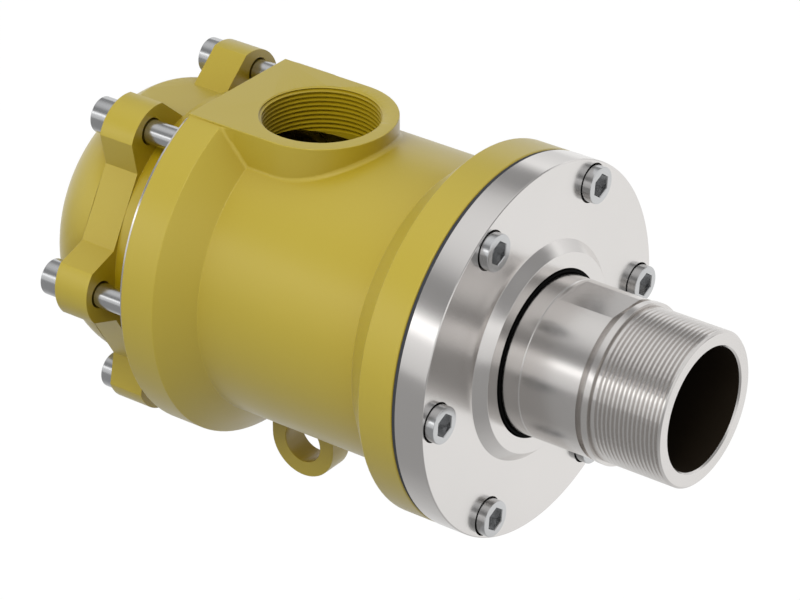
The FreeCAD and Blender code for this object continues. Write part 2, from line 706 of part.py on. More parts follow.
# Lip seal in the hub with a dust lip that stands out of the bore, and its garter spring.
lip = new_body("lip_seal")
profile = new_sketch(lip, "profile", "XY_Plane")
lip_back = v.lip_seal_front + v.lip_seal_width
touch = v.journal_radius + v.soft_clearance
nose_front = v.hub_front - v.dust_lip_stand
nose_outer = v.hub_bore_radius - v.dust_lip_gap
polygon(profile, [
    (-v.lip_seal_front, v.lip_seal_radius - v.fit_clearance),
    (-lip_back, v.lip_seal_radius - v.fit_clearance),
    (-lip_back, v.lip_seal_radius - 2),
    (-v.lip_seal_front - 2.2, v.lip_seal_radius - 2),
    (-v.lip_seal_front - 2.2, v.garter_circle_radius + 0.6),
    (-lip_back + 2.6, v.garter_circle_radius + 0.2),
    (-lip_back + 2.6, v.garter_circle_radius - v.garter_section - 0.02),
    (-lip_back + 0.6, v.garter_circle_radius - v.garter_section - 0.02),
    (-lip_back + 0.6, touch + 0.8),
    (-lip_back + 2.4, touch),
    (-v.lip_seal_front - 2.6, touch + 1.2),
    (-nose_front - 0.6, touch),
    (-nose_front, touch + 0.3),
    (-nose_front, nose_outer),
    (-v.lip_seal_front, nose_outer),
])
turned(lip, profile)
torus("garter_spring", lip_back - 1.6, v.garter_circle_radius, v.garter_section)


def bearing(place, front):
    """One deep groove ball bearing: two races, a ball set and its cage."""
    back = front + v.bearing_width
    middle = front + v.bearing_width / 2
    pitch = (v.bearing_outer_radius + v.bearing_seat_radius) / 2
    track = v.ball_radius + v.ball_clearance
    inner = ring(place + "_inner_race", front, back, v.bearing_seat_radius,
                 v.bearing_seat_radius + v.race_thickness, v.race_chamfer)
    outer = ring(place + "_outer_race", front, back, v.bearing_outer_radius - v.race_thickness,
                 v.bearing_outer_radius, v.race_chamfer)
    for race in (inner, outer):
        cut = new_sketch(race, "track", "XY_Plane")
        circle(cut, -middle, pitch, track)
        turned(race, cut, "Groove")
    balls = new_body(place + "_balls")
    shape = new_sketch(balls, "half_ball", "XY_Plane")
    polygon(shape, [(-middle + v.ball_radius, pitch), (-middle - v.ball_radius, pitch)],
            {0: (v.ball_radius, 1, "DistanceY", pitch)})
    axle(shape, -middle - v.ball_radius, -middle + v.ball_radius, pitch)
    ball = turned(balls, shape, axis="Axis0")
    repeated(balls, [ball], 14)
    cage = ring(place + "_cage", middle - v.cage_width / 2, middle + v.cage_width / 2,
                pitch - v.cage_thickness / 2, pitch + v.cage_thickness / 2)
    cut = new_sketch(cage, "pocket", "XZ_Plane")
    circle(cut, -middle, 0, v.ball_radius + v.cage_pocket_clearance)
    hole = extruded(cage, cut, "Pocket", v.bearing_outer_radius)
    repeated(cage, [hole], 14)


bearing("front_bearing", v.bearing_front)
bearing("rear_bearing", v.bearing_front + v.bearing_width + v.bearing_gap)
spacer_front = v.bearing_front + v.bearing_width
ring("outer_spacer", spacer_front, spacer_front + v.bearing_gap, v.bearing_outer_radius - 5.5,
     v.bearing_outer_radius, v.race_chamfer)
ring("inner_spacer", spacer_front, spacer_front + v.bearing_gap, v.bearing_seat_radius,
     v.bearing_seat_radius + 5, v.race_chamfer)


def circlip(name, front, groove_radius, outer_radius):
    """An open retaining ring."""
    clip = ring(name, front, front + v.circlip_thickness, groove_radius + 0.1, outer_radius)
    cut = new_sketch(clip, "opening", "YZ_Plane", -front)
    polygon(cut, [
        (-v.circlip_gap / 2, groove_radius / 2),
        (v.circlip_gap / 2, groove_radius / 2),
        (v.circlip_gap / 2, outer_radius + 2),
        (-v.circlip_gap / 2, outer_radius + 2),
    ])
    extruded(clip, cut, "Pocket", v.circlip_thickness + 1)
    return clip


circlip("bearing_circlip", groove_front, v.circlip_groove_radius, v.circlip_outer_radius)
circlip("collar_circlip", clip_front, v.collar_clip_groove_radius, v.circlip_outer_radius - 0.5)

# Stationary seal seat with its O-ring in the housing web.
seat = new_body("seal_seat")
profile = new_sketch(seat, "profile", "XY_Plane")
half_groove = v.o_ring_groove_width / 2
polygon(profile, [
    (-v.seat_pocket_front, v.seat_inner_radius),
    (-v.chamber_front, v.seat_inner_radius),
    (-v.chamber_front, v.seat_nose_inner_radius),
    (-v.seat_nose_back, v.seat_nose_inner_radius),
    (-v.seat_nose_back, v.seat_nose_outer_radius),
    (-v.chamber_front, v.seat_nose_outer_radius + 0.6),
    (-v.chamber_front, v.seat_outer_radius),
    (-v.seat_o_ring_station - half_groove, v.seat_outer_radius),
    (-v.seat_o_ring_station - half_groove, v.seat_outer_radius - v.o_ring_groove_depth),
    (-v.seat_o_ring_station + half_groove, v.seat_outer_radius - v.o_ring_groove_depth),
    (-v.seat_o_ring_station + half_groove, v.seat_outer_radius),
    (-v.seat_pocket_front, v.seat_outer_radius),
])
turned(seat, profile)
torus("seat_o_ring", v.seat_o_ring_station,
      v.seat_pocket_radius - v.o_ring_section - v.fit_clearance, v.o_ring_section)

# Rotating seal ring: lapped face, inner O-ring groove, three blind drive holes.
seal = new_body("seal_ring")
profile = new_sketch(seal, "profile", "XY_Plane")
bore = v.seal_sleeve_radius + v.running_clearance
groove_floor = bore + v.o_ring_groove_depth
polygon(profile, [
    (-v.seat_nose_back - v.face_film, v.seat_nose_inner_radius - 1.3),
    (-v.seat_nose_back - v.face_film, v.seal_ring_outer_radius - 0.5),
    (-v.seat_nose_back - v.face_film - 0.5, v.seal_ring_outer_radius),
    (-v.seal_ring_back, v.seal_ring_outer_radius),
    (-v.seal_ring_back, bore),
    (-v.seal_ring_o_ring_station - half_groove, bore),
    (-v.seal_ring_o_ring_station - half_groove, groove_floor),
    (-v.seal_ring_o_ring_station + half_groove, groove_floor),
    (-v.seal_ring_o_ring_station + half_groove, bore),
    (-v.seat_nose_back - 1.5, bore),
])
turned(seal, profile)
pocket = new_sketch(seal, "drive_hole", "YZ_Plane", -v.seal_ring_back)
circle(pocket, 0, v.spring_circle_radius, v.drive_pin_radius + v.drive_pin_play)
hole = extruded(seal, pocket, "Pocket", v.seal_ring_back - v.drive_pin_hole_front, flipped=True)
repeated(seal, [hole], 3)
torus("seal_ring_o_ring", v.seal_ring_o_ring_station,
      groove_floor - v.o_ring_section - v.fit_clearance, v.o_ring_section)

# Drive collar with spring pockets, pin holes and set screw holes.
collar = ring("drive_collar", v.drive_collar_front, v.drive_collar_back,
              v.seal_sleeve_radius + v.fit_clearance, v.drive_collar_radius,
              v.drive_collar_chamfer)
pocket = new_sketch(collar, "spring_pocket", "YZ_Plane", -v.drive_collar_front)
circle(pocket, v.spring_circle_radius * v.sixty_degree_height, v.spring_circle_radius / 2,
       v.spring_pocket_radius)
first = extruded(collar, pocket, "Pocket", v.spring_pocket_back - v.drive_collar_front)
repeated(collar, [first], 9)
pocket = new_sketch(collar, "set_screw_hole", "XZ_Plane")
circle(pocket, -v.set_screw_station, 0, v.set_screw_radius + v.fit_clearance)
hole = extruded(collar, pocket, "Pocket", v.drive_collar_radius + 1, flipped=True)
repeated(collar, [hole], 3)

springs = new_body("seal_springs")
coil = new_sketch(springs, "coil", "YZ_Plane", -v.seal_ring_back - v.soft_clearance)
for radius in (v.spring_radius, v.spring_bore_radius):
    circle(coil, v.spring_circle_radius * v.sixty_degree_height, v.spring_circle_radius / 2, radius)
first = extruded(springs, coil, "Pad",
                 v.spring_pocket_back - v.seal_ring_back - v.soft_clearance * 2, flipped=True)
repeated(springs, [first], 9)

pins = new_body("drive_pins")
shape = new_sketch(pins, "pin", "YZ_Plane", -v.drive_pin_front)
circle(shape, 0, v.spring_circle_radius, v.drive_pin_radius)
first = extruded(pins, shape, "Pad", v.drive_pin_back - v.drive_pin_front, flipped=True)
repeated(pins, [first], 3)
pocket = new_sketch(collar, "pin_hole", "YZ_Plane", -v.drive_collar_front)
circle(pocket, 0, v.spring_circle_radius, v.drive_pin_radius + v.fit_clearance)
first = extruded(collar, pocket, "Pocket", v.drive_pin_back - v.drive_collar_front)
repeated(collar, [first], 3)

grubs = new_body("set_screws")
shape = new_sketch(grubs, "profile", "XZ_Plane", v.seal_sleeve_radius + v.fit_clearance)
circle(shape, -v.set_screw_station, 0, v.set_screw_radius)
blank = extruded(grubs, shape, "Pad",
                 v.set_screw_top - v.seal_sleeve_radius - v.fit_clearance)
socket = new_sketch(grubs, "socket", "XZ_Plane", v.set_screw_top)
across = v.set_screw_socket_radius * v.sixty_degree_height
half = v.set_screw_socket_radius / 2
polygon(socket, [
    (-v.set_screw_station + v.set_screw_socket_radius, 0), (-v.set_screw_station + half, across),
    (-v.set_screw_station - half, across), (-v.set_screw_station - v.set_screw_socket_radius, 0),
    (-v.set_screw_station - half, -across), (-v.set_screw_station + half, -across)])
hexagon = extruded(grubs, socket, "Pocket", v.set_screw_socket_depth)
repeated(grubs, [blank, hexagon], 3)

# Rear adapter ring: thin stainless flange with a pilot and O-ring groove.
adapter = new_body("adapter_ring")
profile = new_sketch(adapter, "profile", "XY_Plane")
adapter_back = v.rear_flange_back + v.adapter_thickness
polygon(profile, [
    (-v.adapter_pilot_front, v.adapter_bore_radius),
    (-adapter_back, v.adapter_bore_radius),
    (-adapter_back, v.adapter_radius),
    (-v.rear_flange_back, v.adapter_radius),
    (-v.rear_flange_back, v.adapter_pilot_radius),
    (-v.pilot_o_ring_station - half_groove, v.adapter_pilot_radius),
    (-v.pilot_o_ring_station - half_groove, v.adapter_pilot_radius - v.o_ring_groove_depth),
    (-v.pilot_o_ring_station + half_groove, v.adapter_pilot_radius - v.o_ring_groove_depth),
    (-v.pilot_o_ring_station + half_groove, v.adapter_pilot_radius),
    (-v.adapter_pilot_front, v.adapter_pilot_radius),
])
turned(adapter, profile)
flat = new_sketch(adapter, "flat", "XY_Plane", v.adapter_flat_height)
polygon(flat, [
    (-adapter_back - 2, -v.adapter_bore_radius), (-v.rear_flange_back, -v.adapter_bore_radius),
    (-v.rear_flange_back, v.adapter_bore_radius), (-adapter_back - 2, v.adapter_bore_radius)])
extruded(adapter, flat, "Pocket", v.adapter_radius - v.adapter_flat_height + 2, flipped=True)
pocket = new_sketch(adapter, "hole", "YZ_Plane", -v.rear_flange_back)
circle(pocket, v.screw_circle_radius, 0, v.screw_hole_radius)
hole = extruded(adapter, pocket, "Pocket", v.adapter_thickness + 1)
repeated(adapter, [hole], 6)
torus("adapter_o_ring", v.pilot_o_ring_station,
      v.rear_pilot_radius - v.o_ring_section - v.fit_clearance, v.o_ring_section)

# Rear cap casting: spigot, six-eared flange and domed back.
cap = new_body("rear_cap")
outside = new_sketch(cap, "outside", "XY_Plane")
polygon(outside, [
    (-adapter_back, 0),
    (-adapter_back, v.cap_spigot_radius),
    (v.cap_dome_round - v.cap_back, v.cap_spigot_radius),
    (-v.cap_back, v.cap_spigot_radius - v.cap_dome_round),
    (-v.cap_back, 0),
], {2: (v.cap_dome_round, 1)})
turned(cap, outside)
plate = new_sketch(cap, "plate", "YZ_Plane", -v.cap_flange_front)
corner = v.cap_spigot_radius / v.sixty_degree_height
polygon(plate, [
    (corner, 0), (corner / 2, v.cap_spigot_radius), (-corner / 2, v.cap_spigot_radius),
    (-corner, 0), (-corner / 2, -v.cap_spigot_radius), (corner / 2, -v.cap_spigot_radius)])
thickness = v.cap_flange_back - v.cap_flange_front
extruded(cap, plate, "Pad", thickness, flipped=True)
ear = new_sketch(cap, "ear", "YZ_Plane", -v.cap_flange_front)
polygon(ear, [
    (v.ear_inner, -v.ear_root_half_width),
    (v.cap_spigot_radius, -v.ear_root_half_width),
    (v.ear_knee, -v.ear_knee_half_width),
    (v.ear_knee, v.ear_knee_half_width),
    (v.cap_spigot_radius, v.ear_root_half_width),
    (v.ear_inner, v.ear_root_half_width),
], {2: (v.ear_tip_round, 1)})
first = extruded(cap, ear, "Pad", thickness, flipped=True)
repeated(cap, [first], 6)
root_y = v.cap_spigot_radius / 2 - v.ear_root_half_width * v.sixty_degree_height
root_z = v.cap_spigot_radius * v.sixty_degree_height + v.ear_root_half_width / 2
knee_y = v.ear_knee / 2 - v.ear_knee_half_width * v.sixty_degree_height
knee_z = v.ear_knee * v.sixty_degree_height + v.ear_knee_half_width / 2
lean = (knee_y - root_y) / (knee_z - root_z)
top_z = v.cap_spigot_radius + 0.5
top_y = root_y + (top_z - root_z) * lean
floor_y = root_y - (root_z - v.cap_flat_height) * lean
notch = new_sketch(cap, "top_notch", "YZ_Plane", -v.cap_flange_front)
polygon(notch, [
    (-floor_y, v.cap_flat_height), (floor_y, v.cap_flat_height), (top_y, top_z), (-top_y, top_z)])
extruded(cap, notch, "Pocket", thickness)
flat = new_sketch(cap, "top_flat", "XY_Plane", v.cap_flat_height)
polygon(flat, [
    (-v.cap_back - 1, -v.ear_inner), (-v.cap_flange_back, -v.ear_inner),
    (-v.cap_flange_back, v.ear_inner), (-v.cap_back - 1, v.ear_inner)])
extruded(cap, flat, "Pocket", v.cap_flat_drop + 1, flipped=True)
inside = new_sketch(cap, "inside", "XY_Plane")
polygon(inside, [
    (1 - adapter_back, 0),
    (1 - adapter_back, v.cap_bore_radius),
    (v.cap_bore_round - v.cap_bore_back, v.cap_bore_radius),
    (-v.cap_bore_back, v.cap_bore_radius - v.cap_bore_round),
    (-v.cap_bore_back, 0),
], {2: (v.cap_bore_round, 1)})
turned(cap, inside, "Groove")
groove = new_sketch(cap, "o_ring_groove", "XY_Plane")
polygon(groove, [
    (-adapter_back + 1, v.cap_o_ring_radius - half_groove),
    (-adapter_back + 1, v.cap_o_ring_radius + half_groove),
    (-adapter_back - v.o_ring_groove_depth, v.cap_o_ring_radius + half_groove),
    (-adapter_back - v.o_ring_groove_depth, v.cap_o_ring_radius - half_groove),
])
turned(cap, groove, "Groove")
pocket = new_sketch(cap, "screw_hole", "YZ_Plane", -v.cap_flange_front)
circle(pocket, v.screw_circle_radius, 0, v.screw_hole_radius)
hole = extruded(cap, pocket, "Pocket", thickness + 1)
pocket = new_sketch(cap, "spot_face", "YZ_Plane", -v.cap_flange_back)
circle(pocket, v.screw_circle_radius, 0, v.spot_face_radius)
sunk = extruded(cap, pocket, "Pocket", v.spot_face_depth, flipped=True)
repeated(cap, [hole, sunk], 6)
torus("cap_o_ring", adapter_back + v.o_ring_section + v.fit_clearance, v.cap_o_ring_radius,
      v.o_ring_section)

doc.recompute()
for item in doc.Objects:
    state = [word for word in item.State if word in ("Invalid", "Error")]
    if state:
        raise ValueError("%s is %s" % (item.Name, state))
bodies = [item for item in doc.Objects if item.TypeId == "PartDesign::Body"]
for body in bodies:
    shape = body.Shape
    if shape.isNull() or not shape.isValid() or not shape.Solids:
        raise ValueError(body.Label + " has no valid shape")
for body in bodies:
    body.Shape.exportStep("parts/%s.step" % body.Label)
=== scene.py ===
import bmesh
import bpy
import json
import math
from mathutils import Matrix, Vector
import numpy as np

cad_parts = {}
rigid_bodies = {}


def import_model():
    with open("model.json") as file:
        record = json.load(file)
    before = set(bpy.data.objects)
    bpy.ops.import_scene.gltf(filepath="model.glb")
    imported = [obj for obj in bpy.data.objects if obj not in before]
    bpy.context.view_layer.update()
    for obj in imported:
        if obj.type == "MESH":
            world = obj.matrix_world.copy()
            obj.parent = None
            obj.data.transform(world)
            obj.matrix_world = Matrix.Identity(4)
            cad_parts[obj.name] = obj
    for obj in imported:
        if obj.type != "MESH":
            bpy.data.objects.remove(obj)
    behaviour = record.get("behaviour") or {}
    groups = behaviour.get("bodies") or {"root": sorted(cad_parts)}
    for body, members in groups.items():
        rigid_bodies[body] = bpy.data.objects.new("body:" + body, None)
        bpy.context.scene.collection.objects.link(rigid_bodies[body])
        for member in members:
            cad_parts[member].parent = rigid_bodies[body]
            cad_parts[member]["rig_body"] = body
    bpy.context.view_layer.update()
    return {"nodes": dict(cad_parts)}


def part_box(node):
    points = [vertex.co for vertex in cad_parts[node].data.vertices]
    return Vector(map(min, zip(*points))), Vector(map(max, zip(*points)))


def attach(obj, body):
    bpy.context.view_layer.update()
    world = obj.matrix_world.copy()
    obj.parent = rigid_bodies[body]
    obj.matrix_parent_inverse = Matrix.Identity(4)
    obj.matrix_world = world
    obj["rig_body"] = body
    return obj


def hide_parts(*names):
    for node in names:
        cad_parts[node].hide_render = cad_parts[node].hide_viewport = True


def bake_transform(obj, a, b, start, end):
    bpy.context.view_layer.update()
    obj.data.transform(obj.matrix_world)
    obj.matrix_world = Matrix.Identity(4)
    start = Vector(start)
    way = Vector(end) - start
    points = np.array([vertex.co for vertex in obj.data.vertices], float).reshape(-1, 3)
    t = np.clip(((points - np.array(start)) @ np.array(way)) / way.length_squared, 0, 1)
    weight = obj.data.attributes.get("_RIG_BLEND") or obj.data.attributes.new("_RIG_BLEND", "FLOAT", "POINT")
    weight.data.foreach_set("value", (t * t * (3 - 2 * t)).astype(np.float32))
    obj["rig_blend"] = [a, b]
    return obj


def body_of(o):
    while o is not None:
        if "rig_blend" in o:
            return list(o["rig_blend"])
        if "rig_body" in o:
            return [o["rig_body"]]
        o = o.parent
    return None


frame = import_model()
nodes = frame["nodes"]

# Housing: one iron casting with two flanges, a barrel, the inlet boss and the lug for a
# torque arm. It is painted all over, on the machined faces and in the port's thread too, in a
# satin mustard yellow. The port is tapped with a parallel pipe thread of 11 turns to the inch.


class Wire:
    """An output in a node tree. Operators on it add the Math nodes that they stand for."""

    def __init__(self, tree, socket):
        self.tree = tree
        self.socket = socket

    def output(self, name):
        """Another output of the same node."""
        return Wire(self.tree, self.socket.node.outputs[name])

    def math(self, operation, *values):
        return self.tree.node(
            "ShaderNodeMath", {"operation": operation}, dict(enumerate(values)))

    def __add__(self, other):
        return self.math("ADD", self, other)

    def __mul__(self, other):
        return self.math("MULTIPLY", self, other)

    def __pow__(self, other):
        return self.math("POWER", self, other)

    def __rpow__(self, other):
        return self.math("POWER", other, self)

    __radd__ = __add__
    __rmul__ = __mul__


class Tree:
    """The shader nodes of a finish, or of the studio's room."""

    def __init__(self, owner):
        owner.use_nodes = True
        self.nodes = owner.node_tree.nodes
        self.links = owner.node_tree.links

    def set(self, node, inputs):
        """Links each named socket of a node to its wire, or gives it its plain value."""
        for key, value in inputs.items():
            socket = node.inputs[key]
            if isinstance(value, Wire):
                self.links.new(value.socket, socket)
            elif socket.type == "RGBA":
                socket.default_value = (*value, 1.0)
            else:
                socket.default_value = value

    def node(self, kind, settings=None, inputs=None, output=0):
        """Adds a node: its settings first, then its sockets' values or links."""
        node = self.nodes.new(kind)
        for key, value in (settings or {}).items():
            if key == "stops":
                elements = node.color_ramp.elements
                while len(elements) < len(value):
                    elements.new(0.5)
                for element, (position, colour) in zip(elements, value):
                    element.position = position
                    element.color = (*colour, 1.0)
            else:
                setattr(node, key, value)
        self.set(node, inputs or {})
        return Wire(self, node.outputs[output])

    def blend(self, factor, first, second):
        """A colour between two colours, which are sockets 6 and 7 of a Mix node."""
        return self.node("ShaderNodeMix", {"data_type": "RGBA"}, {
            "Factor": factor, 6: first, 7: second}, output=2)


class Finish(Tree):
    """A surface finish: a Principled shader with its plain values, and the nodes that feed it."""

    def __init__(self, name, **values):
        self.material = bpy.data.materials.new(name)
        super().__init__(self.material)
        self.shader = self.nodes["Principled BSDF"]
        self.feed(**values)

    def feed(self, **values):
        """Gives values or wires to the shader's own sockets."""
        self.set(self.shader, {key.replace("_", " "): values[key] for key in values})

    def place(self, x=1.0):
        """Where a point of the piece is, in metres, with its X stretched."""
        spot = self.node("ShaderNodeTexCoord", output="Object")
        if x == 1.0:
            return spot
        return self.node(
            "ShaderNodeVectorMath", {"operation": "MULTIPLY"}, {0: spot, 1: (x, 1.0, 1.0)})

    def noise(self, scale, detail=2.0, rough=0.5, x=1.0):
        return self.node("ShaderNodeTexNoise", None, {
            "Vector": self.place(x), "Scale": scale, "Detail": detail, "Roughness": rough})

    def bump(self, height, depth, strength):
        """Relief of that depth in metres on the shader's normal."""
        self.feed(Normal=self.node("ShaderNodeBump", None, {
            "Height": height, "Distance": depth, "Strength": strength}))


def made(name, shape):
    """A new object from a bmesh."""
    mesh = bpy.data.meshes.new(name)
    shape.to_mesh(mesh)
    shape.free()
    piece = bpy.data.objects.new(name, mesh)
    bpy.context.scene.collection.objects.link(piece)
    return piece


def settle(piece):
    """Applies a piece's modifiers to its mesh."""
    shown = piece.evaluated_get(bpy.context.evaluated_depsgraph_get())
    formed = bpy.data.meshes.new_from_object(shown)
    piece.modifiers.clear()
    piece.data = formed


def shaded(piece, finish, crease=50.0):
    """Smooth shading up to creases of that angle, flat faces kept flat, one finish all over."""
    mesh = piece.data
    mesh.polygons.foreach_set("use_smooth", [True] * len(mesh.polygons))
    mesh.set_sharp_from_angle(angle=math.radians(crease))
    piece.modifiers.new("flat_faces", "WEIGHTED_NORMAL").keep_sharp = True
    mesh.materials.clear()
    mesh.materials.append(finish.material)


def stands_for(piece, node):
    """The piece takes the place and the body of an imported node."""
    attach(piece, body_of(nodes[node])[0])
    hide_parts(node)


def dressed(node, finish, edge, cutters=(), crease=50.0):
    """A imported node's form with its corners broken by an edge this wide, then cut."""
    shape = bmesh.new()
    shape.from_mesh(nodes[node].data)
    bmesh.ops.remove_doubles(shape, verts=shape.verts, dist=0.000002)
    for side in shape.edges:
        side.smooth = True
    piece = made(node + "_form", shape)
    if "custom_normal" in piece.data.attributes:
        piece.data.attributes.remove(piece.data.attributes["custom_normal"])
    broken = piece.modifiers.new("broken_edges", "BEVEL")
    broken.width = edge
    broken.segments = 2
    broken.limit_method = "ANGLE"
    broken.angle_limit = math.radians(28.0)
    broken.use_clamp_overlap = False
    for cutter in cutters:
        cut = piece.modifiers.new("cut", "BOOLEAN")
        cut.operation = "DIFFERENCE"
        cut.solver = "EXACT"
        cut.object = cutter
    settle(piece)
    for cutter in cutters:
        bpy.data.objects.remove(cutter)
    shaded(piece, finish, crease)
    stands_for(piece, node)
    return piece


def band(shape, first, second):
    """Faces between two rings of as many points."""
    count = len(first)
    return [shape.faces.new((
        first[k], first[(k + 1) % count], second[(k + 1) % count], second[k]))
        for k in range(count)]


def tube(shape, rings):
    """A closed tube through rings of as many points."""
    for first, second in zip(rings, rings[1:]):
        band(shape, first, second)
    shape.faces.new(rings[0][::-1])
    shape.faces.new(rings[-1])


THREAD_PITCH = 0.0254 / 11


def groove(name, lip, root, length, seat, turn=0.0, fade=0.5):
    """A V groove along a right-hand helix about Z from 0 to length, as one closed solid that
    fades out over its last part of a turn. The lip lies in the open, the root in the metal."""
    steps = 90
    half_lip, half_root = THREAD_PITCH * 0.47, THREAD_PITCH * 0.07
    section = ((lip, -half_lip), (lip, half_lip), (root, half_root), (root, -half_root))
    shape = bmesh.new()
    rings = []
    count = int(length / THREAD_PITCH * steps)
    for i in range(count + 1):
        angle = turn + 2 * math.pi * i / steps
        left = (count - i) / (steps * fade)
        lift = (root - lip) * (1.0 - min(1.0, left))
        rings.append([shape.verts.new((
            (radius - lift) * math.cos(angle), (radius - lift) * math.sin(angle),
            THREAD_PITCH * i / steps + rise)) for radius, rise in section])
    tube(shape, rings)
    bmesh.ops.recalc_face_normals(shape, faces=shape.faces)
    shape.transform(seat)
    return made(name, shape)


mustard = Finish("mustard_paint", Coat_Weight=0.7, Coat_Roughness=0.35, Specular_IOR_Level=0.6)
# Painted shade: in hollows the ambient occlusion mask turns the paint's colour towards a dark deep gold, for
# the shade and yellow bounce light there.
painted_hollow_shade = mustard.node("ShaderNodeAmbientOcclusion", {"samples": 8}, {"Distance": 0.06}, "AO")
mustard.feed(Base_Color=mustard.blend(
    painted_hollow_shade ** 2.5, (0.38, 0.262, 0.001),
    mustard.blend(mustard.noise(9.0, 3.0), (0.540, 0.418, 0.036), (0.510, 0.395, 0.031))))
mustard.feed(Roughness=mustard.noise(60.0) * 0.08 + 0.38)
mustard.bump(mustard.noise(900.0), 0.00003, 0.4)
PORT_FACE = Vector((-0.2174, 0.0, 0.0842))
THREAD_START = Vector((0.0, 0.0, 0.0014))
COUNTERSINK_MIDDLE = Vector((0.0, 0.0, -0.0008))
port_groove = groove(
    "port_groove", lip=0.0280, root=0.0300, length=0.0262,
    seat=Matrix.Translation(PORT_FACE + THREAD_START) @ Matrix.Rotation(math.pi, 4, "X"),
    turn=math.radians(165.0))
shape = bmesh.new()
bmesh.ops.create_cone(
    shape, cap_ends=True, segments=120, radius1=0.0272, radius2=0.0308, depth=0.0036)
shape.transform(Matrix.Translation(PORT_FACE + COUNTERSINK_MIDDLE))
countersink = made("countersink", shape)
dressed("housing", mustard, 0.0004, [countersink, port_groove])

# Rear cap: a second casting in the same paint. Its flange has six ears that the long screws
# pass through, its front end is a spigot with an O-ring, and its back is domed.

dressed("rear_cap", mustard, 0.0002)

# Front cover and adapter ring: stainless plates, faced on a lathe, so that their flat faces
# carry very fine rings about the axis. The cover is screwed to the front flange. The ring lies
# behind the rear flange, which stands out past its rim.


def turned(finish, distance, lines):
    """The fine lines that a lathe leaves, as noise along one distance."""
    return finish.node("ShaderNodeTexNoise", {"noise_dimensions": "1D"}, {
        "W": distance * lines, "Scale": 1.0, "Detail": 2.0})


stainless = Finish("turned_stainless", Metallic=1.0)
from_axis = stainless.node("ShaderNodeVectorMath", {"operation": "LENGTH"}, {
    0: stainless.place(x=0.0)}, output="Value")
facing_lines = turned(stainless, from_axis, 5200.0)
stainless.feed(
    Base_Color=stainless.blend(stainless.noise(14.0), (0.78, 0.755, 0.735), (0.74, 0.72, 0.70)),
    Roughness=facing_lines * 0.05 + stainless.noise(30.0) * 0.04 + 0.15)
stainless.bump(facing_lines, 0.000004, 0.25)
dressed("front_cover", stainless, 0.00013)
adapter = dressed("adapter_ring", stainless, 0.0001)
RIM_STEP, RIM_SHARE = 0.0012, 0.98
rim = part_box("adapter_ring")[1].y
for corner in adapter.data.vertices:
    reach = math.hypot(corner.co.y, corner.co.z)
    if reach > rim * RIM_SHARE:
        corner.co.yz = corner.co.yz * (1.0 - RIM_STEP / reach)

# Gasket and rubber parts: a dark fibre sheet between cover and housing, the lip seal whose
# nose stands out of the hub's bore, and the O-rings. All are matt and nearly black.

fibre = Finish("gasket_fibre", Roughness=0.8)
fibre.feed(Base_Color=fibre.blend(
    fibre.noise(400.0, 4.0, 0.7), (0.035, 0.038, 0.045), (0.06, 0.064, 0.072)))
fibre.bump(fibre.noise(700.0, 3.0), 0.00005, 0.5)
dressed("cover_gasket", fibre, 0.0001)
rubber = Finish("seal_rubber", Specular_IOR_Level=0.06)
rubber.feed(
    Base_Color=rubber.blend(
        rubber.noise(120.0, 3.0), (0.0015, 0.0015, 0.0015), (0.003, 0.003, 0.003)),
    Roughness=rubber.noise(260.0) * 0.15 + 0.65)
rubber.bump(rubber.noise(1500.0), 0.00002, 0.4)
for ring in ("lip_seal", "seat_o_ring", "adapter_o_ring", "cap_o_ring", "seal_ring_o_ring"):
    dressed(ring, rubber, 0.0001)

# Rotor: a hollow stainless shaft with a parallel pipe thread, two wrench flats and a ground
# journal. It is turned, so fine lines run round it, and its bore is painted dark brown as painted shade.

shaft = Finish("ground_stainless", Metallic=1.0)
along = shaft.node("ShaderNodeSeparateXYZ", None, {0: shaft.place()}, output="X")
shaft_lines = turned(shaft, along, 3800.0)
shaft.feed(
    Base_Color=shaft.blend(shaft.noise(20.0), (0.76, 0.735, 0.715), (0.71, 0.69, 0.67)),
    Roughness=shaft_lines * 0.06 + shaft.noise(40.0) * 0.05 + 0.17)
shaft.bump(shaft_lines, 0.000004, 0.25)
# Painted shade: the bore's faces get this dark brown in place of the stainless, for the shade inside the
# bore.
bore = Finish("bore_painted_shade", Metallic=0.6, Roughness=0.6)
bore.feed(Base_Color=bore.blend(
    bore.noise(60.0, 3.0), (0.030, 0.021, 0.012), (0.040, 0.028, 0.016)))
rotor_groove = groove(
    "rotor_groove", lip=0.0382, root=0.0364, length=0.0385,
    seat=Matrix.Translation((0.0022, 0, 0)) @ Matrix.Rotation(-math.pi / 2, 4, "Y"), fade=0.6)
rotor = dressed("rotor", shaft, 0.00006, [rotor_groove], crease=9.0)
rotor.data.materials.append(bore.material)
# The faces inside the bore take the painted shade.
BORE_REACH, BORE_REAR, BORE_FRONT = 0.0303, -0.2425, -0.0009
for face in rotor.data.polygons:
    reach = max(math.hypot(*rotor.data.vertices[i].co.yz) for i in face.vertices)
    if reach < BORE_REACH and BORE_REAR < face.center.x < BORE_FRONT:
        face.material_index = rotor.data.materials.find(bore.material.name)

# Screws: bright M12 socket head screws, forged, turned and ground. Six short ones sit in
# counterbores of the cover, six long ones hold the rear cap and cross the gap before it.

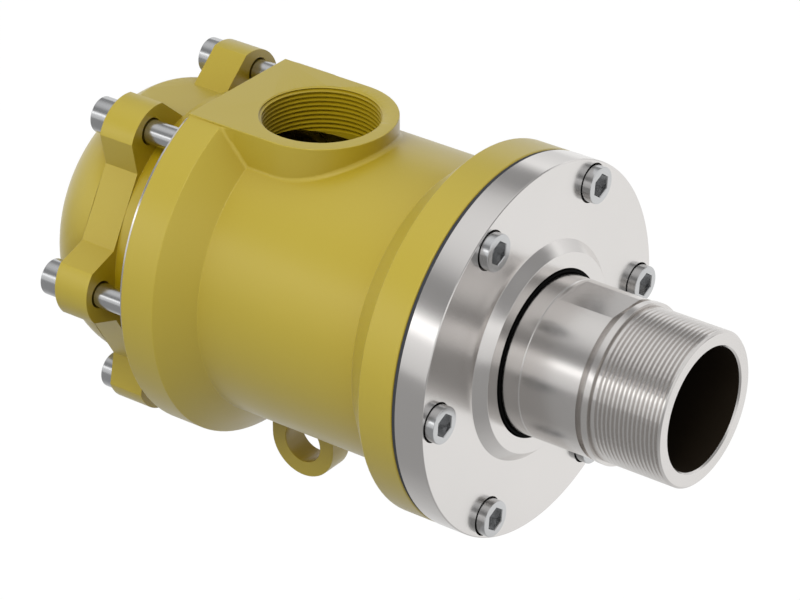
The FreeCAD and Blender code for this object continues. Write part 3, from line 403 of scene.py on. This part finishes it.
bright = Finish("bright_steel", Metallic=1.0)
turning = bright.noise(700.0, x=6.0)
bright.feed(
    Base_Color=bright.blend(bright.noise(50.0), (0.63, 0.635, 0.64), (0.56, 0.565, 0.57)),
    Roughness=turning * 0.08 + 0.16)
bright.bump(turning, 0.00001, 0.3)
forged = Finish("socket_steel", Metallic=1.0, Roughness=0.35)
forged.feed(Base_Color=forged.blend(
    forged.noise(90.0), (0.24, 0.24, 0.24), (0.30, 0.30, 0.30)))
SCREW_CIRCLE = 0.0811
SHANK_RADIUS, POINT_CHAMFER = 0.0060, 0.001
HEAD_RADIUS, HEAD_HEIGHT, HEAD_UNDERCUT = 0.0090, 0.012, 0.0002
HEAD_RIM = ((0.0, 0.0005), (0.0001, 0.0002), (0.0004, 0.0))
SOCKET_CORNER, SOCKET_DEPTH, SOCKET_TIP = 0.00577, 0.0060, 0.0078
MOUTH_WIDENING, MOUTH_DEPTH = 1.06, 0.0004
SIDES = 60


def screw_ring(shape, radius, height, hexagon=False):
    """Points round a screw's axis, on a circle or on a hexagon with its corners that far out."""
    ring = []
    for k in range(SIDES):
        angle = 2 * math.pi * k / SIDES
        reach = radius
        if hexagon:
            sector = (angle + math.pi / 6) % (math.pi / 3) - math.pi / 6
            reach = radius * math.cos(math.pi / 6) / math.cos(math.pi / 6 - abs(sector))
        ring.append(shape.verts.new((reach * math.cos(angle), reach * math.sin(angle), height)))
    return ring


def socket_screws(node, facing, turns):
    """Six screws in one piece; facing is +1 when the heads look along +X, and turns gives the
    angle of each screw's socket."""
    low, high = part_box(node)
    top = high.x if facing > 0 else low.x
    length = high.x - low.x - HEAD_HEIGHT
    profile = [
        (SHANK_RADIUS - POINT_CHAMFER, -length), (SHANK_RADIUS, POINT_CHAMFER - length),
        (SHANK_RADIUS, 0.0), (HEAD_RADIUS - HEAD_UNDERCUT, 0.0), (HEAD_RADIUS, HEAD_UNDERCUT)]
    profile += [(HEAD_RADIUS - inset, HEAD_HEIGHT - drop) for inset, drop in HEAD_RIM]
    shape = bmesh.new()
    rows = [screw_ring(shape, radius, height) for radius, height in profile]
    shape.faces.new(rows[0][::-1])
    for first, second in zip(rows, rows[1:]):
        band(shape, first, second)
    mouth, wall, foot = (
        screw_ring(shape, corner, HEAD_HEIGHT - depth, hexagon=True) for corner, depth in (
            (SOCKET_CORNER * MOUTH_WIDENING, 0.0), (SOCKET_CORNER, MOUTH_DEPTH),
            (SOCKET_CORNER, SOCKET_DEPTH)))
    band(shape, rows[-1], mouth)
    band(shape, mouth, wall)
    inside = band(shape, wall, foot)
    tip = shape.verts.new((0, 0, HEAD_HEIGHT - SOCKET_TIP))
    inside += [shape.faces.new((foot[k], foot[(k + 1) % SIDES], tip)) for k in range(SIDES)]
    for face in inside:
        face.material_index = 1
    bmesh.ops.recalc_face_normals(shape, faces=shape.faces)
    one = bpy.data.meshes.new(node + "_one")
    shape.to_mesh(one)
    shape.free()
    whole = bmesh.new()
    for k, turn in enumerate(turns):
        start = len(whole.verts)
        whole.from_mesh(one)
        spot = (Matrix.Rotation(math.pi / 3 * k, 4, "X")
                @ Matrix.Translation((top - HEAD_HEIGHT * facing, SCREW_CIRCLE, 0))
                @ Matrix.Rotation(math.pi / 2 * facing, 4, "Y")
                @ Matrix.Rotation(math.radians(turn), 4, "Z"))
        whole.verts.ensure_lookup_table()
        bmesh.ops.transform(whole, matrix=spot, verts=whole.verts[start:])
    piece = made(node + "_form", whole)
    shaded(piece, bright, 35.0)
    piece.data.materials.append(forged.material)
    stands_for(piece, node)


socket_screws("cover_screws", 1, [-6.0 - 60.0 * k for k in range(6)])
socket_screws("cap_screws", -1, [11.0 * k for k in range(6)])

# Inside: ball bearings with brass cages, steel spacers and clips, the alumina seat and the
# carbon ring of the face seal, and the dark drive collar with its pins and set screws.

ground = Finish("bearing_steel", Metallic=1.0)
ground.feed(
    Base_Color=ground.blend(ground.noise(80.0), (0.62, 0.62, 0.63), (0.56, 0.56, 0.57)),
    Roughness=ground.noise(500.0, x=8.0) * 0.08 + 0.12)
brass = Finish("cage_brass", Metallic=1.0)
brass.feed(
    Base_Color=brass.blend(brass.noise(60.0, 3.0), (0.66, 0.47, 0.18), (0.58, 0.40, 0.14)),
    Roughness=brass.noise(300.0) * 0.15 + 0.25)
spacer = Finish("turned_steel", Metallic=1.0)
spacer.feed(
    Base_Color=spacer.blend(spacer.noise(60.0, 3.0), (0.42, 0.42, 0.43), (0.33, 0.33, 0.34)),
    Roughness=spacer.noise(600.0, x=8.0) * 0.12 + 0.28)
drawn = Finish("spring_steel", Metallic=1.0)
drawn.feed(
    Base_Color=drawn.blend(drawn.noise(150.0, 3.0), (0.26, 0.26, 0.27), (0.17, 0.17, 0.18)),
    Roughness=drawn.noise(500.0) * 0.12 + 0.3)
alumina = Finish("seat_alumina", Coat_Weight=0.2, Coat_Roughness=0.1)
alumina.feed(
    Base_Color=alumina.blend(alumina.noise(200.0, 4.0), (0.80, 0.77, 0.70), (0.74, 0.71, 0.64)),
    Roughness=alumina.noise(400.0) * 0.1 + 0.3)
carbon = Finish("ring_carbon")
carbon.feed(
    Base_Color=carbon.blend(carbon.noise(600.0, 4.0), (0.030, 0.030, 0.034), (0.045, 0.045, 0.05)),
    Roughness=carbon.noise(500.0) * 0.12 + 0.35)
phosphate = Finish("dark_phosphate", Metallic=0.5)
phosphate.feed(
    Base_Color=phosphate.blend(
        phosphate.noise(400.0, 4.0), (0.030, 0.032, 0.040), (0.055, 0.058, 0.068)),
    Roughness=phosphate.noise(500.0) * 0.15 + 0.4)
phosphate.bump(phosphate.noise(1200.0, 3.0), 0.00002, 0.4)
for end in ("front", "rear"):
    for part, finish in (
            ("inner_race", ground), ("outer_race", ground), ("balls", ground), ("cage", brass)):
        dressed(end + "_bearing_" + part, finish, 0.0001)
for name, finish in (
        ("outer_spacer", spacer), ("inner_spacer", spacer), ("bearing_circlip", drawn),
        ("collar_circlip", drawn), ("garter_spring", drawn), ("seal_seat", alumina),
        ("seal_ring", carbon), ("drive_collar", phosphate), ("set_screws", phosphate),
        ("drive_pins", spacer)):
    dressed(name, finish, 0.0001)

# Seal springs: nine coils of drawn steel wire, evenly round the rotor. They stand in pockets
# of the drive collar and press on the seal ring, so they shorten as the ring floats.

SPRINGS, FIRST_SPRING, SPRING_CIRCLE = 9, 30.0, 0.0424
COIL_RADIUS, WIRE_RADIUS, TURNS = 0.0019, 0.0004, 5.5
TURN_STEPS, WIRE_SIDES = 20, 8
low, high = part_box("seal_springs")
coils = bmesh.new()
for k in range(SPRINGS):
    spoke = math.radians(FIRST_SPRING + 360.0 / SPRINGS * k)
    axis_y, axis_z = SPRING_CIRCLE * math.cos(spoke), SPRING_CIRCLE * math.sin(spoke)
    loops = []
    for i in range(int(TURNS * TURN_STEPS) + 1):
        angle = 2 * math.pi * i / TURN_STEPS
        advance = (high.x - low.x - 2 * WIRE_RADIUS) * i / (TURNS * TURN_STEPS)
        loop = []
        for j in range(WIRE_SIDES):
            bend = 2 * math.pi * j / WIRE_SIDES
            reach = COIL_RADIUS + WIRE_RADIUS * math.cos(bend)
            loop.append(coils.verts.new((
                low.x + WIRE_RADIUS + advance + WIRE_RADIUS * math.sin(bend),
                axis_y + reach * math.cos(angle), axis_z + reach * math.sin(angle))))
        loops.append(loop)
    tube(coils, loops)
bmesh.ops.recalc_face_normals(coils, faces=coils.faces)
springs = made("seal_springs_form", coils)
shaded(springs, drawn)
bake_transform(springs, "rotor_body", "seal_ring_body", start=(low.x, 0, 0), end=(high.x, 0, 0))
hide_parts("seal_springs")

# Studio: a wide pale floor far below the union, which looks white. A high soft box lights the
# union from the front, unseen by the metal, and a narrow one on the left leaves its streak.

FLOOR_LEVEL, FLOOR_REACH = -0.42, 6.0
FLOOR_WHITE, FLOOR_GLOW = 1.05, 0.94
shape = bmesh.new()
bmesh.ops.create_grid(shape, x_segments=1, y_segments=1, size=FLOOR_REACH)
bmesh.ops.translate(shape, vec=(0, 0, FLOOR_LEVEL), verts=shape.verts)
floor = made("floor", shape)
pale = Finish("floor_pale", Roughness=0.9, Base_Color=(0.55, 0.55, 0.55))
floor.data.materials.append(pale.material)
ray = pale.node("ShaderNodeLightPath")
seen, mirrored = ray.output("Is Camera Ray"), ray.output("Is Glossy Ray")
across = pale.node("ShaderNodeSeparateXYZ", None, {0: pale.place()}, output="Y")
# Painted light: to the metal that mirrors it, the floor glows darker towards -Y and brighter towards +Y,
# like an unevenly lit floor.
painted_floor_light = pale.node("ShaderNodeMapRange", None, {
    "Value": across, "From Min": -0.25, "From Max": 0.45, "To Min": 0.36, "To Max": 1.0})
glow = pale.node("ShaderNodeEmission", None, {
    "Color": seen * FLOOR_WHITE + mirrored * painted_floor_light, "Strength": 1.0})
either = seen + mirrored
cast = pale.node("ShaderNodeMixShader", None, {
    0: either.math("MINIMUM", either, 1.0) * FLOOR_GLOW,
    1: Wire(pale, pale.shader.outputs[0]), 2: glow})
pale.set(pale.nodes["Material Output"], {"Surface": cast})

# Room: its walls are white to the camera and grey as light. The metal mirrors them by height,
# with a bright band low down and a dark one above it. The camera is the photograph's.

world = bpy.data.worlds.new("studio")
bpy.context.scene.world = world
room = Tree(world)
ray = room.node("ShaderNodeLightPath")
heading = room.node("ShaderNodeTexCoord", output="Generated")
climb = room.node("ShaderNodeSeparateXYZ", None, {0: heading}, output="Z")
WHITE, GREY, BLUE_TINT = (1.0, 1.0, 1.0), (0.40, 0.40, 0.40), 1.005
WALL_STOPS = ((0.0, 0.75), (0.28, 0.9), (0.38, 1.15), (0.44, 0.7), (0.50, 0.30), (0.68, 0.30),
              (0.80, 0.75), (0.90, 0.9))
walls = room.node("ShaderNodeValToRGB", {
    "stops": [(at, (tone, tone, tone * BLUE_TINT)) for at, tone in WALL_STOPS]}, {0: climb})
colour = room.blend(ray.output("Is Glossy Ray"), GREY, walls)
colour = room.blend(ray.output("Is Camera Ray"), colour, WHITE)
room.set(room.nodes["Background"], {"Color": colour})
UNION_MIDDLE = Vector((-0.15, 0.0, 0.0))


def soft_box(name, stand, width, height, watts):
    """An area lamp that looks at the middle of the union."""
    lamp = bpy.data.lights.new(name, "AREA")
    lamp.shape = "RECTANGLE"
    lamp.size = width
    lamp.size_y = height
    lamp.energy = watts
    box = bpy.data.objects.new(name, lamp)
    box.location = stand
    aim = UNION_MIDDLE - Vector(stand)
    box.rotation_euler = aim.to_track_quat("-Z", "Y").to_euler()
    bpy.context.scene.collection.objects.link(box)
    return box


high_box = soft_box("high_box", (0.05, -1.27, 1.49), width=1.2, height=1.2, watts=23.0)
high_box.visible_glossy = False
soft_box("strip_box", (-1.24, -1.74, 0.80), width=1.6, height=0.30, watts=1.2)

lens = bpy.data.cameras.new("camera")
lens.lens = 180.0
lens.sensor_width = 36.0
camera = bpy.data.objects.new("camera", lens)
camera.location = (0.81439, -1.32458, 0.92732)
YAW, PITCH = 2.21060126, -0.51195088
sight = Vector((math.cos(PITCH) * math.cos(YAW), math.cos(PITCH) * math.sin(YAW), math.sin(PITCH)))
camera.rotation_euler = sight.to_track_quat("-Z", "Y").to_euler()
bpy.context.scene.collection.objects.link(camera)
bpy.context.scene.camera = camera
bpy.context.scene.view_settings.view_transform = "Standard"
